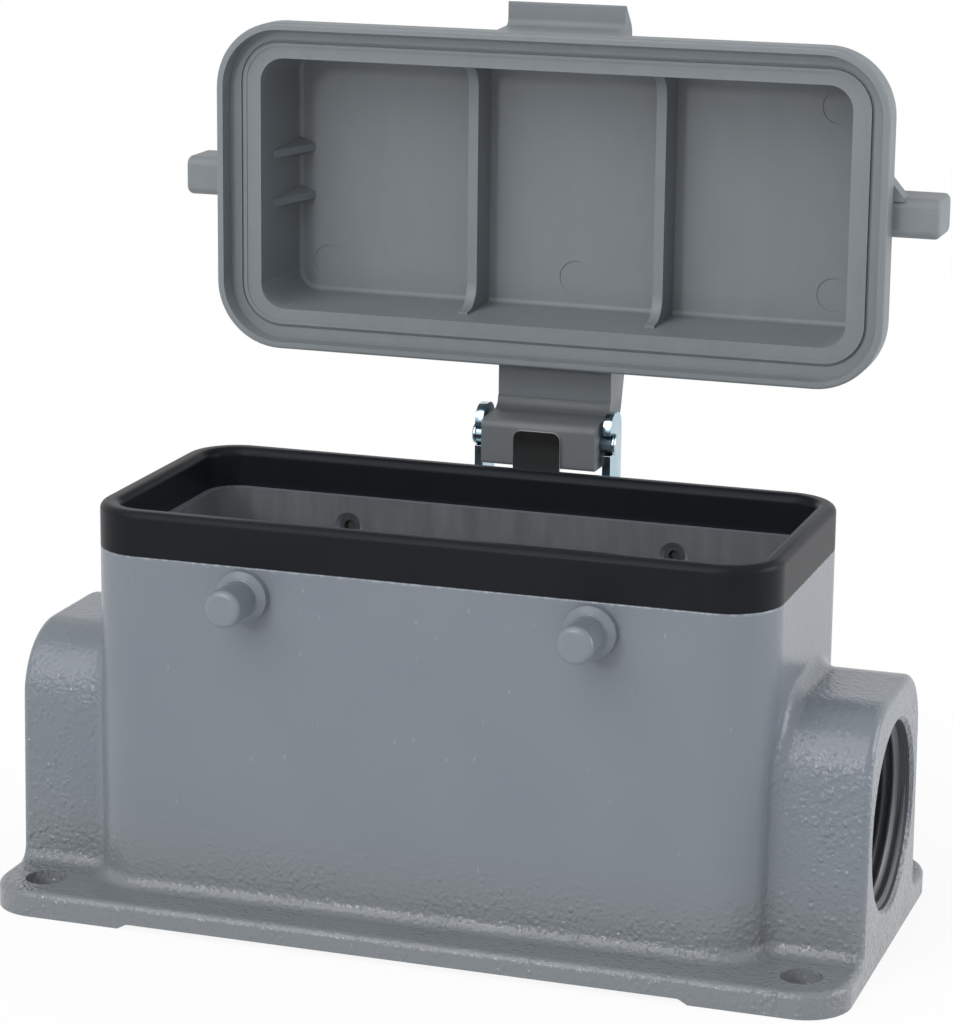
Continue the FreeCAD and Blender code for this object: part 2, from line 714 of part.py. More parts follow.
slot_height = "(sizes.pin_diameter + 2 * sizes.pin_clearance)"
slot_outline = sketch_on(hinge_bracket, "slot_outline", "YZ_Plane")
outline(
    slot_outline,
    [
        (f"{cheek_front} - sizes.cut_margin", f"sizes.hinge_height - {slot_height} / 2"),
        ("sizes.hinge_behind", f"sizes.hinge_height - {slot_height} / 2"),
        ("sizes.hinge_behind", f"sizes.hinge_height + {slot_height} / 2"),
        (f"{cheek_front} - sizes.cut_margin", f"sizes.hinge_height + {slot_height} / 2"),
    ],
)
pocket(hinge_bracket, "pin_slots", slot_outline, "sizes.cheek_outer_width + 2 * sizes.cut_margin", side="Symmetric")
slot_end_outline = sketch_on(hinge_bracket, "slot_end_outline", "YZ_Plane")
circle(slot_end_outline, "sizes.hinge_behind", "sizes.hinge_height", slot_height)
pocket(
    hinge_bracket, "slot_ends", slot_end_outline, "sizes.cheek_outer_width + 2 * sizes.cut_margin", side="Symmetric"
)

bracket_hole_outlines = sketch_on(
    hinge_bracket, "bracket_hole_outlines", "XZ_Plane", f"-{bracket_face} - sizes.cut_margin"
)
for along in ("-1", "1"):
    circle(bracket_hole_outlines, f"{along} * sizes.rivet_pitch / 2", "sizes.rivet_height", rivet_hole)
pocket(
    hinge_bracket,
    "bracket_rivet_holes",
    bracket_hole_outlines,
    "sizes.sheet_thickness + 2 * sizes.cut_margin",
    reverse=True,
)


def on_fold(edge, x, y):
    box = edge.BoundBox
    upright = box.XLength < 0.01 and box.YLength < 0.01 and box.ZLength > size("cheek_outer_width") / 4
    return upright and near(abs(box.XMin), x) and near(box.YMin, y)


round_edges(
    hinge_bracket,
    "outer_folds",
    "sizes.sheet_bend + sizes.sheet_thickness",
    lambda edge: on_fold(edge, size("cheek_outer_width") / 2, size("tower_width") / 2),
)
round_edges(
    hinge_bracket,
    "inner_folds",
    "sizes.sheet_bend",
    lambda edge: on_fold(
        edge,
        size("cheek_outer_width") / 2 - size("sheet_thickness"),
        size("tower_width") / 2 + size("sheet_thickness"),
    ),
)


# Hinge pin: a steel pin lying in the two slots, with slightly upset ends.
hinge_pin = new_body("hinge_pin")
pin_half = "(sizes.cheek_outer_width / 2)"
turn(
    hinge_pin,
    "pin",
    [
        ("0", f"-{pin_half} - sizes.pin_end_thickness"),
        ("sizes.pin_end_diameter / 2", f"-{pin_half} - sizes.pin_end_thickness", "sizes.pin_end_round"),
        ("sizes.pin_end_diameter / 2", f"-{pin_half}"),
        ("sizes.pin_diameter / 2", f"-{pin_half}"),
        ("sizes.pin_diameter / 2", pin_half),
        ("sizes.pin_end_diameter / 2", pin_half),
        ("sizes.pin_end_diameter / 2", f"{pin_half} + sizes.pin_end_thickness", "sizes.pin_end_round"),
        ("0", f"{pin_half} + sizes.pin_end_thickness"),
    ],
)
hinge_pin.Placement = FreeCAD.Placement(
    FreeCAD.Vector(0, 0, 0), FreeCAD.Rotation(FreeCAD.Vector(0, 1, 0), 90)
)
hinge_pin.setExpression(".Placement.Base.y", "sizes.hinge_behind")
hinge_pin.setExpression(".Placement.Base.z", "sizes.hinge_height")


# Detent leaf: spring steel strip riveted over the bracket base, its blade lies against the flat of the cover's cam.
detent_leaf = new_body("detent_leaf")
blade_back = "(sizes.hinge_behind - sizes.cam_front - sizes.leaf_gap)"
blade_front = f"({blade_back} - sizes.leaf_thickness)"
leaf_face = f"({bracket_face} + sizes.leaf_thickness)"
slope_rise = f"({blade_front} - {bracket_face})"
fold_shift = "(sizes.leaf_thickness * tan(22.5 deg))"
leaf_outer_bend = "(sizes.leaf_bend + sizes.leaf_thickness)"
blade_outline = sketch_on(detent_leaf, "blade_outline", "YZ_Plane")
outline(
    blade_outline,
    [
        (bracket_face, "sizes.leaf_root_bottom"),
        (leaf_face, "sizes.leaf_root_bottom"),
        (leaf_face, f"sizes.leaf_bend_height - {fold_shift}", "sizes.leaf_bend"),
        (blade_back, f"sizes.leaf_bend_height + {slope_rise} - {fold_shift}", leaf_outer_bend),
        (blade_back, "sizes.hinge_height + sizes.leaf_top_reach"),
        (blade_front, "sizes.hinge_height + sizes.leaf_top_reach"),
        (blade_front, f"sizes.leaf_bend_height + {slope_rise}", "sizes.leaf_bend"),
        (bracket_face, "sizes.leaf_bend_height", leaf_outer_bend),
    ],
)
pad(detent_leaf, "blade", blade_outline, "sizes.leaf_width", side="Symmetric")

root_outline = sketch_on(detent_leaf, "root_outline", "XZ_Plane", f"-{bracket_face}")
rounded_rectangle(
    root_outline,
    "sizes.leaf_root_width",
    "2 * (sizes.rivet_height - sizes.leaf_root_bottom)",
    "sizes.leaf_root_corner",
    y="sizes.rivet_height",
)
pad(detent_leaf, "root", root_outline, "sizes.leaf_thickness", reverse=True)

leaf_hole_outlines = sketch_on(
    detent_leaf, "leaf_hole_outlines", "XZ_Plane", f"-{bracket_face} - sizes.cut_margin"
)
for along in ("-1", "1"):
    circle(leaf_hole_outlines, f"{along} * sizes.rivet_pitch / 2", "sizes.rivet_height", rivet_hole)
pocket(
    detent_leaf,
    "leaf_rivet_holes",
    leaf_hole_outlines,
    "sizes.leaf_thickness + 2 * sizes.cut_margin",
    reverse=True,
)

leaf_tip = size("hinge_height") + size("leaf_top_reach")
round_edges(
    detent_leaf,
    "leaf_tip_round",
    "sizes.leaf_tip_round",
    lambda edge: near(edge.BoundBox.ZMin, leaf_tip) and near(edge.BoundBox.YLength, size("leaf_thickness")),
)


# Bracket rivets: two round head steel rivets through leaf, bracket and tower wall, peened inside.
rivet_grip = "(sizes.tower_wall + sizes.sheet_thickness + sizes.leaf_thickness)"
rivet_peen = "(sizes.rivet_peen_diameter / 2)"
for end, along in (("left", "-1"), ("right", "1")):
    rivet = new_body(f"bracket_rivet_{end}")
    turn(
        rivet,
        f"rivet_{end}",
        [
            ("0", f"-{rivet_grip} - sizes.rivet_peen_thickness"),
            (rivet_peen, f"-{rivet_grip} - sizes.rivet_peen_thickness", "sizes.rivet_peen_round"),
            (rivet_peen, f"-{rivet_grip}"),
            ("sizes.rivet_diameter / 2", f"-{rivet_grip}"),
            ("sizes.rivet_diameter / 2", "0"),
            ("sizes.rivet_head_diameter / 2", "0"),
            ("sizes.rivet_head_diameter / 2", "sizes.rivet_head_thickness", "sizes.rivet_head_round"),
            ("0", "sizes.rivet_head_thickness"),
        ],
    )
    place(rivet, -90, f"{along} * sizes.rivet_pitch / 2", leaf_face, "sizes.rivet_height")


# Cover: one grey plastic moulding, drawn as it lies when closed, with its origin on the hinge axis.
cover = new_body("cover")
place(cover, -90, "0", "sizes.hinge_behind", "sizes.hinge_height")

rim_outline = sketch_on(cover, "rim_outline", "XY_Plane", f"{seat_plane} - sizes.lip_depth")
rounded_rectangle(rim_outline, "sizes.cover_length", "sizes.cover_width", "sizes.cover_corner", y=cover_middle)
pad(cover, "rim", rim_outline, "sizes.rim_height")
round_edges(cover, "rim_edge_round", "sizes.rim_edge_round", lambda edge: edge.BoundBox.ZLength < 0.01)

tray_outline = sketch_on(cover, "tray_outline", "XY_Plane", seat_plane)
rounded_rectangle(
    tray_outline,
    "sizes.opening_length + 2 * sizes.tray_wall",
    "sizes.opening_width + 2 * sizes.tray_wall",
    "sizes.opening_corner + sizes.tray_wall",
    y=cover_middle,
)
pad(cover, "tray", tray_outline, "sizes.tray_depth + sizes.tray_wall", draft="-sizes.tray_draft")

tray_top_height = float(cover.Tip.evalExpression(tray_top))
round_edges(cover, "tray_top_round", "sizes.tray_top_round", lambda edge: near(edge.BoundBox.ZMin, tray_top_height))

lug_outline = sketch_on(cover, "lug_outline", "YZ_Plane")
rounded_rectangle(
    lug_outline,
    "sizes.lug_width",
    "sizes.lug_thickness",
    "sizes.lug_round",
    x=f"{cover_middle} - sizes.lug_shift",
    y=f"{seat_plane} + sizes.lug_above_seat + sizes.lug_thickness / 2",
)
pad(cover, "lugs", lug_outline, "sizes.cover_length + 2 * sizes.lug_reach", side="Symmetric")
lug_end = size("cover_length") / 2 + size("lug_reach")
round_edges(cover, "lug_end_round", "sizes.lug_end_round", lambda edge: near(abs(edge.CenterOfMass.x), lug_end))

# A web stiffens the root of each lug on the side away from the hinge.
rim_back = f"({seat_plane} - sizes.lip_depth + sizes.rim_height)"
web_outlines = sketch_on(cover, "web_outlines", "XY_Plane", f"{rim_back} - sizes.overlap")
web_foot = f"({cover_middle} - sizes.lug_shift - sizes.lug_width / 2 + sizes.overlap)"
web_inner = "(sizes.opening_length / 2 + sizes.tray_wall / 2)"
web_outer = "(sizes.cover_length / 2 + sizes.lug_web_reach)"
for along in ("-1", "1"):
    outline(
        web_outlines,
        [
            (f"{along} * {web_inner}", web_foot),
            (f"{along} * {web_outer}", web_foot),
            (f"{along} * {web_outer}", f"{web_foot} - sizes.overlap"),
            (f"{along} * {web_inner}", f"{web_foot} - sizes.overlap - sizes.lug_web_height"),
        ],
    )
pad(cover, "lug_webs", web_outlines, "sizes.lug_web_thickness")

tray_back = f"({cover_middle} + sizes.opening_width / 2 + sizes.tray_wall / 2)"
arm_back = "(sizes.arm_front + sizes.arm_thickness)"
cam_outline = sketch_on(cover, "cam_outline", "YZ_Plane")
outline(
    cam_outline,
    [
        ("-sizes.cam_above", "-sizes.cam_front", "sizes.cam_top_round"),
        ("sizes.cam_below", "-sizes.cam_front", "sizes.cam_bottom_round"),
        ("sizes.cam_below", "sizes.cam_back", "sizes.cam_back_round"),
        ("-sizes.cam_above", f"{arm_back} - sizes.arm_knee_drop", "sizes.arm_knee_round"),
        ("-sizes.cam_above - sizes.arm_knee_length", arm_back, "sizes.arm_knee_round"),
        (tray_back, arm_back),
        (tray_back, "sizes.arm_front"),
        ("-sizes.cam_above - sizes.neck_length", "sizes.arm_front"),
        ("-sizes.cam_above - sizes.neck_length", "sizes.arm_front - sizes.arm_step"),
        ("-sizes.cam_above - sizes.neck_rise", "sizes.arm_front - sizes.arm_step", "sizes.neck_round"),
    ],
)
cam_width = f"(2 * {cheek_inside} - 2 * sizes.cam_side_gap)"
pad(cover, "arm_and_cam", cam_outline, cam_width, side="Symmetric")

rim_front = f"({cover_middle} - sizes.cover_width / 2)"
tray_front = f"({cover_middle} - sizes.opening_width / 2 - sizes.tray_wall / 2)"
tab_under = f"({seat_plane} + sizes.tab_above_seat)"
tab_outline = sketch_on(cover, "tab_outline", "YZ_Plane")
outline(
    tab_outline,
    [
        (tray_front, f"{seat_plane} + sizes.overlap"),
        (f"{rim_front} + sizes.tab_lean", f"{seat_plane} + sizes.overlap"),
        (rim_front, tab_under, "sizes.tab_root_round"),
        (f"{rim_front} - sizes.tab_reach", tab_under, "sizes.tab_tip_round"),
        (f"{rim_front} - sizes.tab_reach", f"{tab_under} + sizes.tab_tip_thickness", "sizes.tab_tip_round"),
        (rim_front, f"{tab_under} + sizes.tab_thickness", "sizes.tab_back_round"),
        (tray_front, f"{tab_under} + sizes.tab_thickness"),
    ],
)
pad(cover, "tab", tab_outline, "sizes.tab_width", side="Symmetric")

lip_outline = sketch_on(cover, "lip_outline", "XY_Plane", f"{seat_plane} - sizes.lip_depth")
lip_length = "(sizes.cover_length - 2 * sizes.lip_thickness)"
lip_width = "(sizes.cover_width - 2 * sizes.lip_thickness)"
lip_corner = "(sizes.cover_corner - sizes.lip_thickness)"
rounded_rectangle(lip_outline, lip_length, lip_width, lip_corner, y=cover_middle)
pocket(cover, "lip_recess", lip_outline, "sizes.lip_depth", reverse=True)

channel_outlines = sketch_on(cover, "channel_outlines", "XY_Plane", seat_plane)
rounded_rectangle(channel_outlines, lip_length, lip_width, lip_corner, y=cover_middle)
seat_length = "(sizes.opening_length + 2 * sizes.seat_width_long)"
seat_width = "(sizes.opening_width + 2 * sizes.seat_width_wide)"
seat_corner = "(sizes.opening_corner + sizes.seat_width_wide)"
rounded_rectangle(channel_outlines, seat_length, seat_width, seat_corner, y=cover_middle)
pocket(cover, "channel", channel_outlines, "sizes.channel_depth", reverse=True)

# A low bead along the border of the seat presses into the housing's seal. A fine groove runs round the bead.
groove_outlines = sketch_on(cover, "groove_outlines", "XY_Plane", seat_plane)
rounded_rectangle(
    groove_outlines,
    f"{seat_length} + 2 * sizes.bead_groove_width",
    f"{seat_width} + 2 * sizes.bead_groove_width",
    f"{seat_corner} + sizes.bead_groove_width",
    y=cover_middle,
)
rounded_rectangle(groove_outlines, seat_length, seat_width, seat_corner, y=cover_middle)
pocket(cover, "bead_groove", groove_outlines, "sizes.channel_depth + sizes.bead_groove_depth", reverse=True)

bead_outlines = sketch_on(cover, "bead_outlines", "XY_Plane", f"{seat_plane} - sizes.bead_height")
rounded_rectangle(bead_outlines, seat_length, seat_width, seat_corner, y=cover_middle)
rounded_rectangle(
    bead_outlines,
    f"{seat_length} - 2 * sizes.bead_width",
    f"{seat_width} - 2 * sizes.bead_width",
    f"{seat_corner} - sizes.bead_width",
    y=cover_middle,
)
pad(cover, "bead", bead_outlines, "sizes.bead_height + sizes.overlap")

opening_outline = sketch_on(cover, "opening_outline", "XY_Plane", seat_plane)
rounded_rectangle(
    opening_outline, "sizes.opening_length", "sizes.opening_width", "sizes.opening_corner", y=cover_middle
)
pocket(cover, "tray_hollow", opening_outline, "sizes.tray_depth", reverse=True, draft="-sizes.tray_draft")
tray_floor_height = float(cover.Tip.evalExpression(tray_floor))


def on_tray_floor(edge):
    box = edge.BoundBox
    return near(box.ZMin, tray_floor_height) and near(box.ZMax, tray_floor_height)


round_edges(cover, "tray_floor_round", "sizes.tray_floor_round", on_tray_floor)

rib_end = "(sizes.opening_width / 2)"
rib_edge = f"({tray_floor} - sizes.rib_height)"
rib_inner = "(sizes.rib_foot + sizes.rib_lean)"
rib_round = "(sizes.rib_flare - sizes.wall_bite)"
for end, along in (("left", "-1"), ("right", "1")):
    rib_outline = sketch_on(cover, f"{end}_rib_outline", "YZ_Plane", f"{along} * sizes.rib_pitch / 2")
    outline(
        rib_outline,
        [
            (f"{cover_middle} - {rib_end} - sizes.wall_bite", f"{rib_edge} - sizes.rib_flare"),
            (f"{cover_middle} - {rib_end} + sizes.rib_foot", f"{rib_edge} - sizes.rib_flare"),
            (f"{cover_middle} - {rib_end} + {rib_inner}", rib_edge, rib_round),
            (f"{cover_middle} + {rib_end} - {rib_inner}", rib_edge, rib_round),
            (f"{cover_middle} + {rib_end} - sizes.rib_foot", f"{rib_edge} - sizes.rib_flare"),
            (f"{cover_middle} + {rib_end} + sizes.wall_bite", f"{rib_edge} - sizes.rib_flare"),
            (f"{cover_middle} + {rib_end} + sizes.wall_bite", f"{tray_floor} + sizes.overlap"),
            (f"{cover_middle} - {rib_end} - sizes.wall_bite", f"{tray_floor} + sizes.overlap"),
        ],
    )
    pad(cover, f"{end}_rib", rib_outline, "sizes.rib_thickness", side="Symmetric")

# Gussets: two at each end, a thin edge that grows thick towards the corner of wall and floor.
wall_at_floor = "(sizes.opening_length / 2 - sizes.tray_depth * tan(sizes.tray_draft * 1 deg))"
gusset_tip = f"({wall_at_floor} - sizes.gusset_reach)"
gusset_root = "(sizes.opening_length / 2 + sizes.wall_bite)"
for row_name, across in (("front", "-1"), ("back", "1")):
    gusset_middle = f"({cover_middle} + {across} * sizes.gusset_pitch / 2)"
    sections = []
    for end, height, tip, root_thickness in (
        ("edge", f"{tray_floor} - sizes.gusset_depth", wall_at_floor, "sizes.gusset_edge_thickness"),
        ("floor", f"{tray_floor} + sizes.overlap", gusset_tip, "sizes.gusset_root_thickness"),
    ):
        section = sketch_on(cover, f"{row_name}_gusset_{end}", "XY_Plane", height)
        outline(
            section,
            [
                (tip, f"{gusset_middle} - sizes.gusset_edge_thickness / 2"),
                (gusset_root, f"{gusset_middle} - {root_thickness} / 2"),
                (gusset_root, f"{gusset_middle} + {root_thickness} / 2"),
                (tip, f"{gusset_middle} + sizes.gusset_edge_thickness / 2"),
            ],
        )
        section.Visibility = False
        sections.append(section)
    gusset = cover.newObject("PartDesign::AdditiveLoft", f"{row_name}_gusset")
    gusset.Profile = sections[0]
    gusset.Sections = [sections[1]]
    gusset.Ruled = True
    document.recompute()
    mirrored = cover.newObject("PartDesign::Mirrored", f"{row_name}_gussets")
    mirrored.Originals = [gusset]
    mirrored.MirrorPlane = ([item for item in cover.Origin.OriginFeatures if item.Role == "YZ_Plane"][0], [""])
    cover.Tip = mirrored
    document.recompute()

ejector_outlines = sketch_on(cover, "ejector_outlines", "XY_Plane", tray_floor)
for along, across in (("1", "-1"), ("-1", "1"), ("0", "1"), ("1", "1")):
    circle(
        ejector_outlines,
        f"{along} * sizes.ejector_pitch_long / 2",
        f"{cover_middle} + {across} * sizes.ejector_pitch_wide / 2",
        "sizes.ejector_diameter",
    )
pocket(cover, "ejector_marks", ejector_outlines, "sizes.ejector_depth", reverse=True)

pin_hole_outline = sketch_on(cover, "pin_hole_outline", "YZ_Plane")
circle(pin_hole_outline, "0", "0", "sizes.pin_diameter + 2 * sizes.pin_clearance")
pocket(cover, "pin_hole", pin_hole_outline, "sizes.cheek_outer_width", side="Symmetric")

document.recompute()
os.makedirs("parts", exist_ok=True)
bodies = [item for item in document.Objects if item.TypeId == "PartDesign::Body"]
for item in document.Objects:
    if "Invalid" in item.State or "Error" in item.State:
        raise RuntimeError(f"{item.Name} has a problem: {item.State}")
for body in bodies:
    if body.Shape.isNull() or not body.Shape.isValid():
        raise RuntimeError(f"{body.Label} has no valid shape")
    body.Shape.exportStep(f"parts/{body.Label}.step")
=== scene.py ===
import bmesh
import bpy
import math
from mathutils import Matrix, Vector


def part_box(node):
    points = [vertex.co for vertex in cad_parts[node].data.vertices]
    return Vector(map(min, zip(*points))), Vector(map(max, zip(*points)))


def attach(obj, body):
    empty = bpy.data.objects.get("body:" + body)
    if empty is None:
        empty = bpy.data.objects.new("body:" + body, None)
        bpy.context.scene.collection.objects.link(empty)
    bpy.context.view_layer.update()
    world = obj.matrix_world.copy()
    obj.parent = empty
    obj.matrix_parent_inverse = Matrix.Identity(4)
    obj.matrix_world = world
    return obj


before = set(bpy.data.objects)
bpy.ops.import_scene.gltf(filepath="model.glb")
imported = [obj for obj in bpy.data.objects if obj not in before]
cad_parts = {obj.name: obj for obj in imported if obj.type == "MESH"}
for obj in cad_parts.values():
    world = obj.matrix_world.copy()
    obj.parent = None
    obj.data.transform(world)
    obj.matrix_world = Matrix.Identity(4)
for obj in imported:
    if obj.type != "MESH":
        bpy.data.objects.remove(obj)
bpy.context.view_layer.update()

# All lengths in this file are in metres, in the frame of the solids.

# Camera: a long lens half a metre away, a little above the housing and to the right of its front.
# The frame is cut slightly off the lens axis, so the shift is small.
photo_width = 953
photo_height = 1024
lens_pixels = 3489.9
lens_column = 451.5
lens_row = 491.2
camera_place = Vector((0.1434, -0.4294, 0.1668))
# Turned to the right of the front, tilted down, and rolled, in degrees.
camera_yaw = math.radians(18.76)
camera_pitch = math.radians(13.64)
camera_roll = math.radians(0.52)
film_width = 36.0

towards_camera = Vector(
    (
        math.sin(camera_yaw) * math.cos(camera_pitch),
        -math.cos(camera_yaw) * math.cos(camera_pitch),
        math.sin(camera_pitch),
    )
)
level_right = Vector((math.cos(camera_yaw), math.sin(camera_yaw), 0))
level_up = towards_camera.cross(level_right)
camera_right = level_right * math.cos(camera_roll) + level_up * math.sin(camera_roll)
camera_up = level_up * math.cos(camera_roll) - level_right * math.sin(camera_roll)

camera_data = bpy.data.cameras.new("camera")
camera_data.sensor_width = film_width
camera_data.lens = film_width * lens_pixels / photo_height
camera_data.shift_x = (photo_width / 2 - lens_column) / photo_height
camera_data.shift_y = (lens_row - photo_height / 2) / photo_height
camera = bpy.data.objects.new("camera", camera_data)
bpy.context.scene.collection.objects.link(camera)
camera_turn = Matrix((camera_right, camera_up, towards_camera)).transposed().to_4x4()
camera.matrix_world = Matrix.Translation(camera_place) @ camera_turn
bpy.context.scene.camera = camera
bpy.context.scene.view_settings.view_transform = "Standard"


# Studio: an even pale surround and a white floor that keeps a soft shadow.
# The surround shows as white to the eye and in polished metal, and lights the object at a plain level.
surround_light = 0.42
white = "#ffffff"
floor_size = 3.0
floor_drop = 0.0001
floor_shadow_share = 0.1
shadow_near = 0.06
shadow_far = 0.13


def linear(hex_colour):
    """An sRGB hex colour as the linear colour that a shader takes."""
    channels = [int(hex_colour[start : start + 2], 16) / 255 for start in (1, 3, 5)]
    levels = [
        channel / 12.92 if channel <= 0.04045 else ((channel + 0.055) / 1.055) ** 2.4
        for channel in channels
    ]
    return levels + [1.0]


def add_node(tree, kind, settings={}, links={}):
    """Adds one node, sets its sockets or its own settings, and joins its inputs to other outputs."""
    node = tree.nodes.new(kind)
    for name, value in settings.items():
        if isinstance(name, int) or name in node.inputs:
            node.inputs[name].default_value = value
        else:
            setattr(node, name, value)
    for name, source in links.items():
        tree.links.new(source, node.inputs[name])
    return node


world = bpy.data.worlds.new("studio")
world.use_nodes = True
world.node_tree.nodes.clear()
path = add_node(world.node_tree, "ShaderNodeLightPath")
seen = add_node(
    world.node_tree,
    "ShaderNodeMath",
    {"operation": "MAXIMUM"},
    {0: path.outputs["Is Camera Ray"], 1: path.outputs["Is Glossy Ray"]},
)
seen_through = add_node(
    world.node_tree,
    "ShaderNodeMath",
    {"operation": "MAXIMUM"},
    {0: seen.outputs[0], 1: path.outputs["Is Transmission Ray"]},
)
level = add_node(
    world.node_tree,
    "ShaderNodeMapRange",
    {"To Min": surround_light, "To Max": 1.0},
    {"Value": seen_through.outputs[0]},
)
surround = add_node(
    world.node_tree, "ShaderNodeBackground", {"Color": linear(white)}, {"Strength": level.outputs[0]}
)
add_node(world.node_tree, "ShaderNodeOutputWorld", {}, {"Surface": surround.outputs[0]})
bpy.context.scene.world = world

floor_mesh = bpy.data.meshes.new("floor")
floor_half = floor_size / 2
floor_mesh.from_pydata(
    [
        (-floor_half, -floor_half, -floor_drop),
        (floor_half, -floor_half, -floor_drop),
        (floor_half, floor_half, -floor_drop),
        (-floor_half, floor_half, -floor_drop),
    ],
    [],
    [(0, 1, 2, 3)],
)
floor = bpy.data.objects.new("floor", floor_mesh)
bpy.context.scene.collection.objects.link(floor)

floor_paint = bpy.data.materials.new("white paper sweep")
floor_paint.use_nodes = True
floor_tree = floor_paint.node_tree
floor_tree.nodes.clear()
floor_path = add_node(floor_tree, "ShaderNodeLightPath")
floor_seen = add_node(
    floor_tree,
    "ShaderNodeMath",
    {"operation": "MAXIMUM"},
    {0: floor_path.outputs["Is Camera Ray"], 1: floor_path.outputs["Is Glossy Ray"]},
)
floor_place = add_node(floor_tree, "ShaderNodeTexCoord")
from_object = add_node(
    floor_tree, "ShaderNodeVectorMath", {"operation": "LENGTH"}, {0: floor_place.outputs["Object"]}
)
glow_share = add_node(
    floor_tree,
    "ShaderNodeMapRange",
    {"From Min": shadow_near, "From Max": shadow_far, "To Min": 1 - floor_shadow_share, "To Max": 1.0},
    {"Value": from_object.outputs["Value"]},
)
floor_glow_share = add_node(
    floor_tree,
    "ShaderNodeMath",
    {"operation": "MULTIPLY"},
    {0: floor_seen.outputs[0], 1: glow_share.outputs[0]},
)
floor_diffuse = add_node(floor_tree, "ShaderNodeBsdfDiffuse", {"Color": linear(white)})
floor_glow = add_node(floor_tree, "ShaderNodeEmission", {"Color": linear(white), "Strength": 1.0})
floor_mix = add_node(
    floor_tree,
    "ShaderNodeMixShader",
    {},
    {0: floor_glow_share.outputs[0], 1: floor_diffuse.outputs[0], 2: floor_glow.outputs[0]},
)
add_node(floor_tree, "ShaderNodeOutputMaterial", {}, {"Surface": floor_mix.outputs[0]})
floor_mesh.materials.append(floor_paint)

# Three soft boxes, aimed at the middle of the object: one high in front at the left, a small one low in
# front, which makes the rough paint sparkle, and one low at the right and a little behind, which reaches
# the right sides of the housing but not the inside of the open cover.
lamp_aim = Vector((0, 0, 0.06))
for name, place, side, watts in (
    ("soft_box_front", Vector((-0.3, -0.75, 0.85)), 1.0, 7.7),
    ("soft_box_low", Vector((-0.25, -1.05, 0.36)), 0.1, 1.9),
    ("soft_box_right", Vector((0.85, 0.24, 0.2)), 0.6, 4.6),
):
    lamp_data = bpy.data.lights.new(name, "AREA")
    lamp_data.shape = "SQUARE"
    lamp_data.size = side
    lamp_data.energy = watts
    lamp = bpy.data.objects.new(name, lamp_data)
    bpy.context.scene.collection.objects.link(lamp)
    lamp.location = place
    lamp.rotation_mode = "QUATERNION"
    lamp.rotation_quaternion = (place - lamp_aim).to_track_quat("Z", "Y")


# Housing: an aluminium die casting with a blue grey powder coat, sprayed over a slightly coarse cast
# skin. The coat levels out on the tower's walls, stays lumpy and beaded on the bosses, and is a little
# browner near the foot. Its pale specks are painted glints, and the pale broken line along the edge under
# the seal is a painted highlight on that edge.
coat_colour = "#717881"
coat_shade_colour = "#777e86"
coat_foot_colour = "#777c81"
# Pale colour of the painted glints and of the painted highlight along the edge under the seal.
painted_glint_colour = "#a3a9b0"
coat_lump = 0.0006
coat_bead = 0.0011
coat_patch = 0.014
glint_cell = 0.0026
glint_stretch = 0.45
coat_height = 0.0003
bead_share = 0.4
glint_strength = 0.3
# Rim and crown of a bead, and rim and core of a painted glint, as shares of their cells.
bead_rim = 0.5
bead_crown = 0.1
glint_rim = 0.075
glint_core = 0.03
# Levels of the noise, which runs from 0 to 1: its middle, and where a patch begins and is in full.
noise_middle = 0.5
patch_low = 0.35
patch_high = 0.6
patch_least = 0.5
smooth_coat_roughness = 0.3
lumpy_coat_roughness = 0.15
# How rough the coat is on the tower's walls, at the foot and at the calmer edges of a boss.
smooth_share = 0.09
root_share = 0.56
boss_calm_share = 0.3
# Where the rougher coat begins and where it is in full, out from the middle and up from the base plane.
boss_start = 0.0455
boss_rough = 0.0485
boss_top_calm = 0.0325
boss_top_rough = 0.0285
boss_low_rough = 0.017
boss_low_calm = 0.011
foot_rough = 0.006
wall_smooth = 0.016
tint_start = 0.017
# The painted highlight along the edge under the seal, its breaks, and the levels of the noise that make
# them.
edge_highlight_width = 0.0005
edge_highlight_break = 0.0009
edge_highlight_gap_low = 0.45
edge_highlight_gap_high = 0.6
edge_highlight_strength = 0.7


def start_material(name, **finish):
    """A material with a Principled shader whose plain sockets are set, and its object coordinates."""
    material = bpy.data.materials.new(name)
    material.use_nodes = True
    tree = material.node_tree
    tree.nodes.clear()
    shader = add_node(tree, "ShaderNodeBsdfPrincipled", finish)
    add_node(tree, "ShaderNodeOutputMaterial", {}, {"Surface": shader.outputs[0]})
    place = add_node(tree, "ShaderNodeTexCoord").outputs["Object"]
    return material, tree, shader, place


def dress(node_name, material):
    """Gives a CAD node its material."""
    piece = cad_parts[node_name]
    piece.data.materials.clear()
    piece.data.materials.append(material)
    return piece


powder_coat, tree, shader, place = start_material(
    "powder coated die casting", **{"Specular IOR Level": 0.45}
)
lumps = add_node(tree, "ShaderNodeTexNoise", {"Scale": 1 / coat_lump, "Detail": 2.0}, {"Vector": place})
bead_cells = add_node(
    tree, "ShaderNodeTexVoronoi", {"Scale": 1 / coat_bead, "Randomness": 1.0}, {"Vector": place}
)
beads = add_node(
    tree,
    "ShaderNodeMapRange",
    {
        "interpolation_type": "SMOOTHSTEP",
        "From Min": bead_rim,
        "From Max": bead_crown,
        "To Min": 0.0,
        "To Max": bead_share,
    },
    {"Value": bead_cells.outputs["Distance"]},
)
evened = add_node(
    tree, "ShaderNodeMath", {"operation": "SUBTRACT", 1: noise_middle}, {0: lumps.outputs[0]}
)
beaded = add_node(
    tree, "ShaderNodeMath", {"operation": "ADD"}, {0: evened.outputs[0], 1: beads.outputs[0]}
)
patches = add_node(
    tree, "ShaderNodeTexNoise", {"Scale": 1 / coat_patch, "Detail": 1.0}, {"Vector": place}
)
axes = add_node(tree, "ShaderNodeSeparateXYZ", {}, {"Vector": place})
along = add_node(tree, "ShaderNodeMath", {"operation": "ABSOLUTE"}, {0: axes.outputs["X"]})
